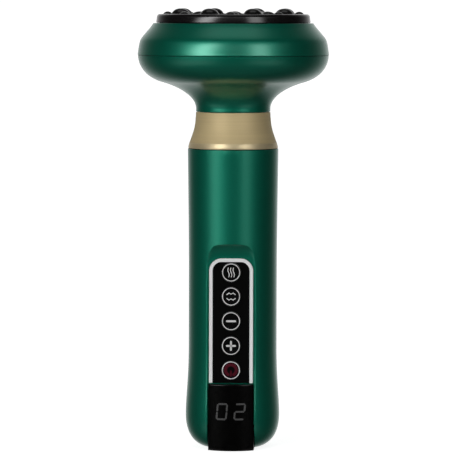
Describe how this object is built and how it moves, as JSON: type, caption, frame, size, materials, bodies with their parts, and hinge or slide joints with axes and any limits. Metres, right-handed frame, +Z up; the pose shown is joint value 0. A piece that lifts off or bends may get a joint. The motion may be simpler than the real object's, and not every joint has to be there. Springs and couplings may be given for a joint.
{
  "type": "electric cupping massager",
  "caption": "Handheld electric cupping massager: round suction head with domed massage face, gold collar, straight grip with push keys and a number display.",
  "frame": {"origin": "on the surface it stands on, under the axis of the grip", "axes": "+Z up along the grip to the massage face, the keys and the display face -Y, +X to the right seen from the keys"},
  "size_m": [0.09, 0.09, 0.2057],
  "materials": {
    "green_lacquer": "satin metallic lacquer",
    "gold_collar": "satin champagne gold",
    "gloss_black": "polished",
    "window_black": "smoked, polished",
    "panel_black": "satin",
    "key_black": "satin, printed ring and symbol",
    "silver_trim": "satin",
    "foot_black": "fine texture",
    "inner_plastic": "as moulded",
    "steel": "zinc plated",
    "motor_metal": "drawn can",
    "heater_metal": "plain",
    "circuit_board": "solder mask",
    "cell_wrap": "shrink wrap",
    "soft_rubber": "matte",
    "silicone": "translucent"
  },
  "bodies": {
    "massager": {"handle_front_shell": "green_lacquer", "handle_back_shell": "green_lacquer", "collar_ring": "gold_collar", "head_lower_shell": "green_lacquer", "head_upper_shell": "green_lacquer", "plate_rim": "gloss_black", "plate_seal": "soft_rubber", "massage_plate": "gloss_black", "massage_dome_1": "gloss_black", "massage_dome_2": "gloss_black", "massage_dome_3": "gloss_black", "massage_dome_4": "gloss_black", "massage_dome_5": "gloss_black", "massage_dome_6": "gloss_black", "massage_dome_7": "gloss_black", "massage_dome_8": "gloss_black", "suction_filter": "soft_rubber", "heater_ring": "heater_metal", "vacuum_chamber": "inner_plastic", "panel_frame": "silver_trim", "panel_plate": "panel_black", "display_window": "window_black", "display_module": "inner_plastic", "switch_power": "steel", "switch_plus": "steel", "switch_minus": "steel", "switch_mode": "steel", "switch_heat": "steel", "main_board": "circuit_board", "charge_socket": "steel", "foot_cap": "foot_black", "foot_screw_1": "steel", "foot_screw_2": "steel", "inner_frame": "inner_plastic", "battery_cell": "cell_wrap", "motor_can": "motor_metal", "pump_crankcase": "inner_plastic", "pump_diaphragm": "soft_rubber", "pump_head": "inner_plastic", "pump_sleeve": "soft_rubber", "pump_hose": "silicone", "valve_body": "steel", "valve_spring": "steel", "valve_hose": "silicone", "head_screw_1": "steel", "head_screw_2": "steel", "head_screw_3": "steel"},
    "key_power": {"key_power": "key_black", "switch_plunger_power": "inner_plastic"},
    "key_plus": {"key_plus": "key_black", "switch_plunger_plus": "inner_plastic"},
    "key_minus": {"key_minus": "key_black", "switch_plunger_minus": "inner_plastic"},
    "key_mode": {"key_mode": "key_black", "switch_plunger_mode": "inner_plastic"},
    "key_heat": {"key_heat": "key_black", "switch_plunger_heat": "inner_plastic"},
    "motor_rotor": {"motor_rotor": "motor_metal"},
    "valve_plunger": {"valve_plunger": "steel"}
  },
  "joints": [
    {"name": "press_power", "type": "slide", "parent": "massager", "child": "key_power", "axis": [0, 1, 0], "range_m": [0, 0.0005], "stiffness_N_per_m": 800, "springref_m": -0.0005},
    {"name": "press_plus", "type": "slide", "parent": "massager", "child": "key_plus", "axis": [0, 1, 0], "range_m": [0, 0.0005], "stiffness_N_per_m": 800, "springref_m": -0.0005},
    {"name": "press_minus", "type": "slide", "parent": "massager", "child": "key_minus", "axis": [0, 1, 0], "range_m": [0, 0.0005], "stiffness_N_per_m": 800, "springref_m": -0.0005},
    {"name": "press_mode", "type": "slide", "parent": "massager", "child": "key_mode", "axis": [0, 1, 0], "range_m": [0, 0.0005], "stiffness_N_per_m": 800, "springref_m": -0.0005},
    {"name": "press_heat", "type": "slide", "parent": "massager", "child": "key_heat", "axis": [0, 1, 0], "range_m": [0, 0.0005], "stiffness_N_per_m": 800, "springref_m": -0.0005},
    {"name": "motor_spin", "type": "hinge", "parent": "massager", "child": "motor_rotor", "pos_m": [0, 0, 0.1], "axis": [0, 0, 1], "continuous": true},
    {"name": "valve_release", "type": "slide", "parent": "massager", "child": "valve_plunger", "axis": [0, 0, -1], "range_m": [0, 0.0015], "stiffness_N_per_m": 300, "springref_m": -0.001, "deforming": ["valve_spring"]}
  ]
}
